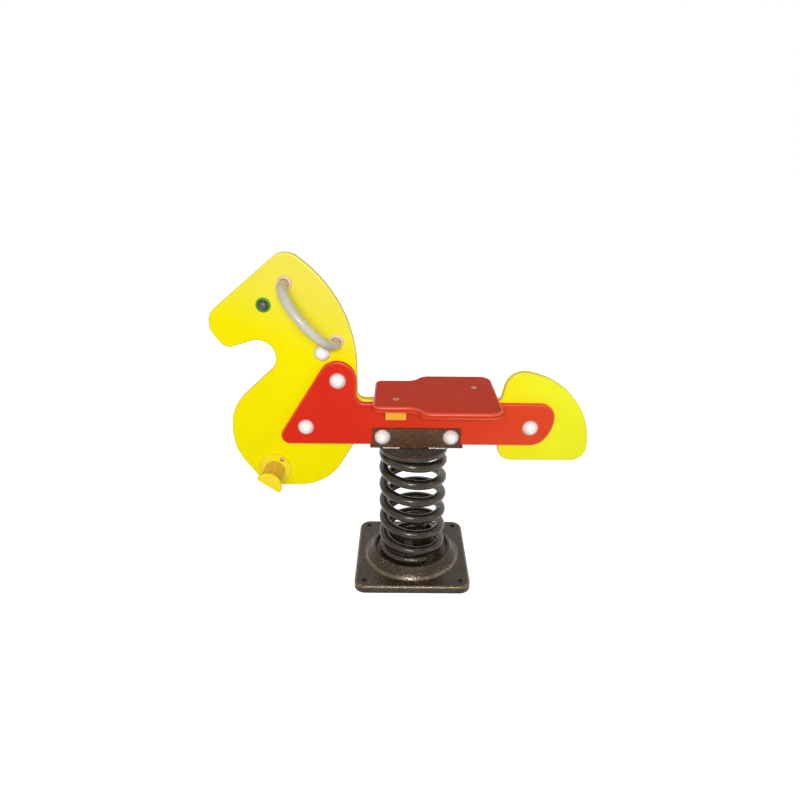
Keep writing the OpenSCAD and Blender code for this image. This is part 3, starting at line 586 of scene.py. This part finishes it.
middleTurn = coil["turns"] / 2
buildCoilHalf("lowerCoils", 0, middleTurn)
buildCoilHalf("upperCoils", middleTurn, coil["turns"])
print("spring built")


# round plate and saddle

topPlate = {"radius": 88.5, "thickness": 12, "edgeRound": 2, "steps": 96, "flatSlope": 0.8}


def buildTopPlate(spec):
    bm = bmesh.new()
    middle = Matrix.Translation((0, 0, heights["disc"] + spec["thickness"] / 2))
    bmesh.ops.create_cone(bm, cap_ends=True, segments=spec["steps"], radius1=spec["radius"],
                          radius2=spec["radius"], depth=spec["thickness"], matrix=middle)
    roundEdges(bm, levelEdges(bm), spec["edgeRound"], 3)
    bm.normal_update()
    for face in bm.faces:  # the side is drawn in the spring's darker finish
        face.material_index = 1 if abs(face.normal.z) < spec["flatSlope"] else 0
    return makePiece("springTopPlate", bm, "disc", "rider", ["spring_top_plate"],
                     flatFaces=True, extra=["spring"])


saddle = {"middle": 7, "length": 234, "cheekLength": 222, "cheekHeight": 47, "cheekSunk": 1, "steel": 6,
          "corner": 5, "footCorner": 0.5, "cornerStep": 15, "edgeRound": 0.9}
weld = {"radius": 3, "runs": [(-76, -34), (40, 82)], "swell": 0.12, "rhythm": 2.3, "lift": 0.4}


def addWeld(bm, side):  # a row of beads along the round plate
    radius = weld["radius"]
    for start, stop in weld["runs"]:
        for k in range(int((stop - start) / radius)):
            bead = bmesh.new()
            swell = 1 + weld["swell"] * math.sin(k * weld["rhythm"])
            bmesh.ops.create_icosphere(bead, subdivisions=2, radius=radius * swell)
            for face in bead.faces:
                face.material_index = 1
            spot = (start + k * radius, side * depths["cheek"], heights["saddle"] + weld["lift"])
            addCopy(bm, bead, Matrix.Translation(spot))
            bead.free()


def buildSaddle(spec):
    floorBox = roundedBox((spec["length"], 2 * depths["cheek"], spec["steel"]), spec["edgeRound"])
    bm = copies(floorBox, [Matrix.Translation((spec["middle"], 0, heights["saddle"] + spec["steel"] / 2))])
    half, top, r = spec["cheekLength"] / 2, spec["cheekHeight"], spec["corner"]
    low, lowRound = -spec["cheekSunk"], spec["footCorner"]
    corners = [(-half, low, lowRound), (half, low, lowRound), (half, top, r), (-half, top, r)]
    for side in sides.values():
        cheek = thickSheet(corners, spec["steel"], spec["edgeRound"], spec["cornerStep"])
        addCopy(bm, cheek, sidePlace(side, spec["middle"], depths["side"], 0))
        cheek.free()
        addWeld(bm, side)
    return makePiece("saddleBracket", bm, "saddle", "rider", ["saddle"], flatFaces=True,
                     extra=["steel"])


buildTopPlate(topPlate)
buildSaddle(saddle)
print("saddle built")


# sheets, with corners of (x, height above the beam's foot, radius); the seat's are (x, y, radius)

coreSplit = {"middle": 10, "gap": 2}  # head and tail sheet meet under the red plates
headEnd = coreSplit["middle"] - coreSplit["gap"] / 2
tailStart = coreSplit["middle"] + coreSplit["gap"] / 2
coreRise = heights["coreTop"] - heights["beam"]
beamRise = heights["beamTop"] - heights["beam"]
headSheet = {"thickness": 20, "edgeRound": 4, "outline": [
    (-148.6, 0, 25), (headEnd, 0, 6), (headEnd, coreRise, 6), (-140.5, coreRise, 20), (-140.5, 366, 323),
    (-302, 485, 47), (-489.5, 330, 42), (-489.5, 290, 36), (-456, 244, 26), (-211.5, 320.5, 42.5),
    (-457, 94, 120), (-461.5, -20, 135), (-386, -127.5, 85), (-224, -127.5, 135)]}
tailSheet = {"thickness": 20, "edgeRound": 4, "outline": [
    (tailStart, 0, 6), (216, 0, 10), (216, -49, 35), (445, -49, 40), (445, 157, 196), (234, 198.5, 48),
    (216, coreRise, 10), (tailStart, coreRise, 6)]}
sidePlates = {"thickness": 15, "edgeRound": 4, "outline": [
    (-352, 0, 22), (316, 0, 50), (350, 43.7, 87.4), (350, beamRise, 35.8), (-142.5, beamRise, 20),
    (-142.5, 331, 46)]}
seat = {"thickness": 15, "edgeRound": 5, "outline": [
    (-100, -95, 18), (1, -95, 34.5), (21, -132, 34.5), (206, -132, 32), (206, 132, 32), (21, 132, 34.5),
    (1, 95, 34.5), (-100, 95, 18)]}


def buildUpright(name, spec, innerFace, finish, node):
    bm = thickSheet(spec["outline"], spec["thickness"], spec["edgeRound"], step=4, edgeSlot=1)
    upright = Matrix.Translation((0, -innerFace, heights["beam"])) @ quarterTurn
    bmesh.ops.transform(bm, matrix=upright, verts=bm.verts)
    # the edge faces take the pale edge finish with its painted sheen
    return makePiece(name, bm, finish, "rider", [node], flatFaces=True, extra=[finish + "Edge"])


def buildSeat(spec):
    bm = thickSheet(spec["outline"], spec["thickness"], spec["edgeRound"], step=5, edgeSlot=1)
    bmesh.ops.translate(bm, vec=(0, 0, heights["coreTop"]), verts=bm.verts)
    return makePiece("seatBoard", bm, "seatRedShaded", "rider", ["seat"], flatFaces=True,
                     extra=["redEdge"])


buildUpright("headSheet", headSheet, -depths["core"], "yellow", "head_sheet")
buildUpright("tailSheet", tailSheet, -depths["core"], "yellow", "tail_sheet")
buildUpright("nearSidePlate", sidePlates, depths["core"], "red", "near_side_plate")
buildUpright("farSidePlate", sidePlates, -depths["side"], "red", "far_side_plate")
buildSeat(seat)
print("sheets and seat built")


# seat blocks and screws

blocks = {"length": 51, "reach": 34, "height": 34, "edgeRound": 2.5, "spots": [(-45, -1), (153, 1)]}
seatScrew = {"radius": 8, "height": 4, "socket": 3, "socketDepth": 2.2}


def screwHead(spec):
    ball = ballRadius(spec["radius"], spec["height"])
    reach = math.degrees(math.asin(spec["radius"] / ball))
    inner = math.degrees(math.asin(spec["socket"] / ball))
    dome = arcPoints(ball, 90 - reach, 90 - inner, 8, spec["height"] - ball)
    bottom = dome[-1][1] - spec["socketDepth"]
    return lathe([(0, 0), (spec["radius"], 0)] + dome + [(spec["socket"], bottom), (0, bottom)], 24)


def overBlocks(z):
    middle = depths["side"] + blocks["reach"] / 2
    return [Matrix.Translation((x, side * middle, z)) for x, side in blocks["spots"]]


block = roundedBox((blocks["length"], blocks["reach"], blocks["height"]), blocks["edgeRound"])
bothBlocks = copies(block, overBlocks(heights["coreTop"] - blocks["height"] / 2))
makePiece("seatBlocks", bothBlocks, "block", "rider", ["seat_blocks"], flatFaces=True)
heads = copies(screwHead(seatScrew), overBlocks(heights["seatTop"]))
makePiece("seatScrews", heads, "dullSteel", "rider", ["seat_screws"])
print("seat fixings built")


# hand grips with their rosettes

grip = {"span": 180, "reach": 115, "radius": 11, "tilt": 50, "centre": (-246, 334.5), "sides": 28,
        "steps": 40}
rosette = {"steps": 40, "profile": [(11.6, 0), (18, 0), (18, 2.6)] + arcPoints(2.6, 0, 90, 4, 2.6, 15.4)
           + [(13.6, 5.6), (12.4, 6.8), (11.6, 7), (11.6, 0)]}


def buildGrip(name, side, node):
    bm = bmesh.new()
    half = grip["span"] / 2
    leg = grip["reach"] - half
    bmesh.ops.create_circle(bm, segments=grip["sides"], radius=grip["radius"], cap_ends=True,
                            matrix=Matrix.Translation((-half, 0, 0)) @ quarterTurn)
    legUp = bmesh.ops.extrude_edge_only(bm, edges=bm.edges[:])["geom"]
    bmesh.ops.translate(bm, vec=(0, -leg, 0), verts=vertsOf(legUp))
    ring = [e for e in edgesOf(legUp) if abs(e.verts[0].co.y - e.verts[1].co.y) < 0.01]
    swept = bmesh.ops.spin(bm, geom=ring, cent=(0, -leg, 0), axis=(0, 0, 1), angle=math.radians(180),
                           steps=grip["steps"])
    legDown = bmesh.ops.extrude_edge_only(bm, edges=edgesOf(swept["geom_last"]))["geom"]
    bmesh.ops.translate(bm, vec=(0, leg, 0), verts=vertsOf(legDown))
    bmesh.ops.holes_fill(bm, edges=[e for e in bm.edges if e.is_boundary])
    bmesh.ops.transform(bm, matrix=headPlace(side, grip["centre"], grip["tilt"]), verts=bm.verts)
    return makePiece(name, bm, "handle", "rider", [node])


def buildRosettes(name, side, node):
    middle = headPlace(side, grip["centre"], grip["tilt"])
    feet = [middle @ Matrix.Translation((end * grip["span"] / 2, 0, 0)) @ quarterTurn for end in (-1, 1)]
    bm = copies(lathe(rosette["profile"], rosette["steps"]), feet)
    return makePiece(name, bm, "rosette", "rider", [node])


for word, side in sides.items():
    buildGrip(word + "Grip", side, word + "_handle")
    buildRosettes(word + "Rosettes", side, word + "_rosettes")
print("grips built")


# footrests

footrest = {"place": (-358, -77), "tilt": 36, "reach": 95, "tread": 25, "flare": 2, "end": 34, "flange": 42,
            "flangeThick": 6, "flangeSteps": 64, "endThick": 9, "wall": 4.5, "sunk": 0.5, "screwRadius": 34.5,
            "tipRound": 6, "steps": 60, "softWidth": 1.8}
footScrew = {"radius": 6, "height": 3.6, "socket": 2.4, "socketDepth": 1.8}


def footPlace(side):
    return headPlace(side, footrest["place"], footrest["tilt"]) @ quarterTurn


def treadHalf(f):  # the upper half of a turned, hollow tread with its end lip
    thick, reach, tread, end, wall = f["flangeThick"], f["reach"], f["tread"], f["end"], f["wall"]
    root, neck, flared = thick - f["sunk"], reach - f["endThick"], tread + f["flare"]
    hollowTop, lipStart, lipFull = neck - wall, neck - 7, neck + 4
    fillet = [(tread + 2.4, root), (tread + 1, thick + 0.9), (tread + 0.2, thick + 2.4), (tread, thick + 5)]
    lip = [(flared, neck - 12), (flared + 1.5, lipStart), (end - 5, neck - 1), (end - 1.6, neck + 1.4),
           (end, lipFull)]
    outside = [(end, reach - 3), (end - 0.9, reach - 0.9), (end - 3, reach), (0, reach)]
    hollow = [(0, hollowTop), (flared - wall, hollowTop), (tread - wall, thick + wall), (0, thick + wall)]
    half = lathe([(0, root)] + fillet + lip + outside + hollow + [(0, root)], f["steps"], 180)
    for vert in half.verts:  # rounds both tips of the lip, less and less towards the tread
        spot = vert.co
        tip = f["tipRound"] * min(1, (spot.z - lipStart) / (lipFull - lipStart))
        if spot.z > lipStart + 1 and spot.y < tip and spot.xy.length > tread:
            furthest = spot.xy.length - tip + math.sqrt(max(0, tip * tip - (tip - spot.y) ** 2))
            spot.x = math.copysign(min(abs(spot.x), furthest), spot.x)
    for face in half.faces:  # the rough tread
        spot = face.calc_center_median()
        face.material_index = 1 if thick + 4 < spot.z < neck and spot.xy.length > tread - 2 else 0
    openEdges = [e for e in half.edges if len(e.link_faces) < 2]
    for way in (-1, 1):  # the flat faces under both long edges
        around = [e for e in openEdges if all(way * v.co.x > -0.01 for v in e.verts)]
        bmesh.ops.contextual_create(half, geom=around)
    return half


def buildFootrest(name, side, node):
    thick, wide = footrest["flangeThick"], footrest["flange"]
    roundedEdge = [(wide, thick - 2), (wide - 0.6, thick - 0.6), (wide - 2, thick)]
    bm = lathe([(0, 0), (wide, 0)] + roundedEdge + [(0, thick)], footrest["flangeSteps"])
    half = treadHalf(footrest)
    addCopy(bm, half, Matrix.Identity(4))
    half.free()
    bmesh.ops.transform(bm, matrix=footPlace(side), verts=bm.verts)
    piece = makePiece(name, bm, "footrest", "rider", [node], extra=["tread"])
    softenEdges(piece, footrest["softWidth"], 3)
    return piece


for word, side in sides.items():
    buildFootrest(word + "Footrest", side, word + "_footrest")
fromMiddle, outward = footrest["screwRadius"], footrest["flangeThick"]
screwSpots = [Matrix.Translation((0, up * fromMiddle, outward)) for up in (-1, 1)]
screwPlaces = [footPlace(side) @ spot for side in sides.values() for spot in screwSpots]
heads = copies(screwHead(footScrew), screwPlaces)
makePiece("footrestScrews", heads, "dullSteel", "rider", ["footrest_screws"])
print("footrests built")


# eyes

eye = {"place": (-356.5, 352), "bore": 6, "rimRadius": 17.5, "rimThick": 4, "rimRound": 2.4,
       "pupilRadius": 13, "pupilHeight": 7, "shadeRingFrom": 10}


def pupilShape(spec):
    radius, height = spec["pupilRadius"], spec["pupilHeight"]
    ball = ballRadius(radius, height)
    reach = math.degrees(math.asin(radius / ball))
    bm = lathe([(0, 0), (radius, 0)] + arcPoints(ball, 90 - reach, 90, 10, height - ball))
    for face in bm.faces:  # painted shade: a darker ring at the pupil's edge
        face.material_index = 1 if face.calc_center_median().xy.length > spec["shadeRingFrom"] else 0
    return bm


def eyePlaces(depth):
    x, rise = eye["place"]
    return [sidePlace(side, x, depth, rise) for side in sides.values()]


rimShape = lathe(ringProfile(eye["bore"], eye["rimRadius"], eye["rimThick"], eye["rimRound"]))
rims = copies(rimShape, eyePlaces(depths["core"]))
makePiece("eyeRims", rims, "eyeGreen", "rider", ["eye_rims"])
pupils = copies(pupilShape(eye), eyePlaces(depths["core"] + eye["rimThick"]))
makePiece("eyePupils", pupils, "eyeDark", "rider", ["eye_pupils"], extra=["eyeEdgeShade"])
print("eyes built")


# bolt caps: a base ring and a snap-on dome on both sides of every through bolt

caps = {"bore": 5.3, "baseRadius": 20, "baseThick": 3.5, "baseRound": 2.3,
        "domeRadius": 17.5, "domeHeight": 13, "wall": 2,
        "spots": [(-223.5, 236.5, "core"), (-187, 170.5, "side"), (-270, 48, "side"), (290.5, 50, "side"),
                  (-78.5, 25, "cheek"), (92.5, 25, "cheek")]}


def capDome(spec):
    ball = ballRadius(spec["domeRadius"], spec["domeHeight"])
    innerBall = ball - spec["wall"]
    drop = spec["domeHeight"] - ball
    outer = arcPoints(ball, math.degrees(math.asin(-drop / ball)), 90, 14, drop)
    inner = arcPoints(innerBall, 90, math.degrees(math.asin(-drop / innerBall)), 10, drop)
    return lathe(outer + inner + outer[:1])


def capPlaces(side, lift):
    return [sidePlace(side, x, depths[layer] + lift, rise) for x, rise, layer in caps["spots"]]


for word, side in sides.items():
    domes = copies(capDome(caps), capPlaces(side, caps["baseThick"]))
    makePiece(word + "Caps", domes, "cap", "rider", [word + "_caps"])
ringShape = lathe(ringProfile(caps["bore"], caps["baseRadius"], caps["baseThick"], caps["baseRound"]))
rings = copies(ringShape, capPlaces(sides["near"], 0) + capPlaces(sides["far"], 0))
makePiece("capBases", rings, "capBaseShaded", "rider", ["cap_bases"])
print("caps built")


# carried-over CAD nodes: clamps and fasteners

# painted shade: the clamp bolts and nuts take the dark base paint, to sit dark inside the spring
carried = {"lower_clamps": "base", "lower_clamp_bolts": "base", "lower_clamp_nuts": "base",
           "upper_clamps": "base", "upper_clamp_bolts": "base", "through_bolts": "steel",
           "through_nuts": "steel", "handle_studs": "steel", "block_screws": "steel"}
carriedEdges = {"merge": 0.01, "softWidth": 0.6}
for node, finish in carried.items():
    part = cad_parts[node]
    part.data.materials.clear()
    part.data.materials.append(finishes[finish])
    weldPoints = part.modifiers.new("weld", "WELD")
    weldPoints.merge_threshold = carriedEdges["merge"] * 0.001
    softenEdges(part, carriedEdges["softWidth"], 2)
print("fasteners finished")
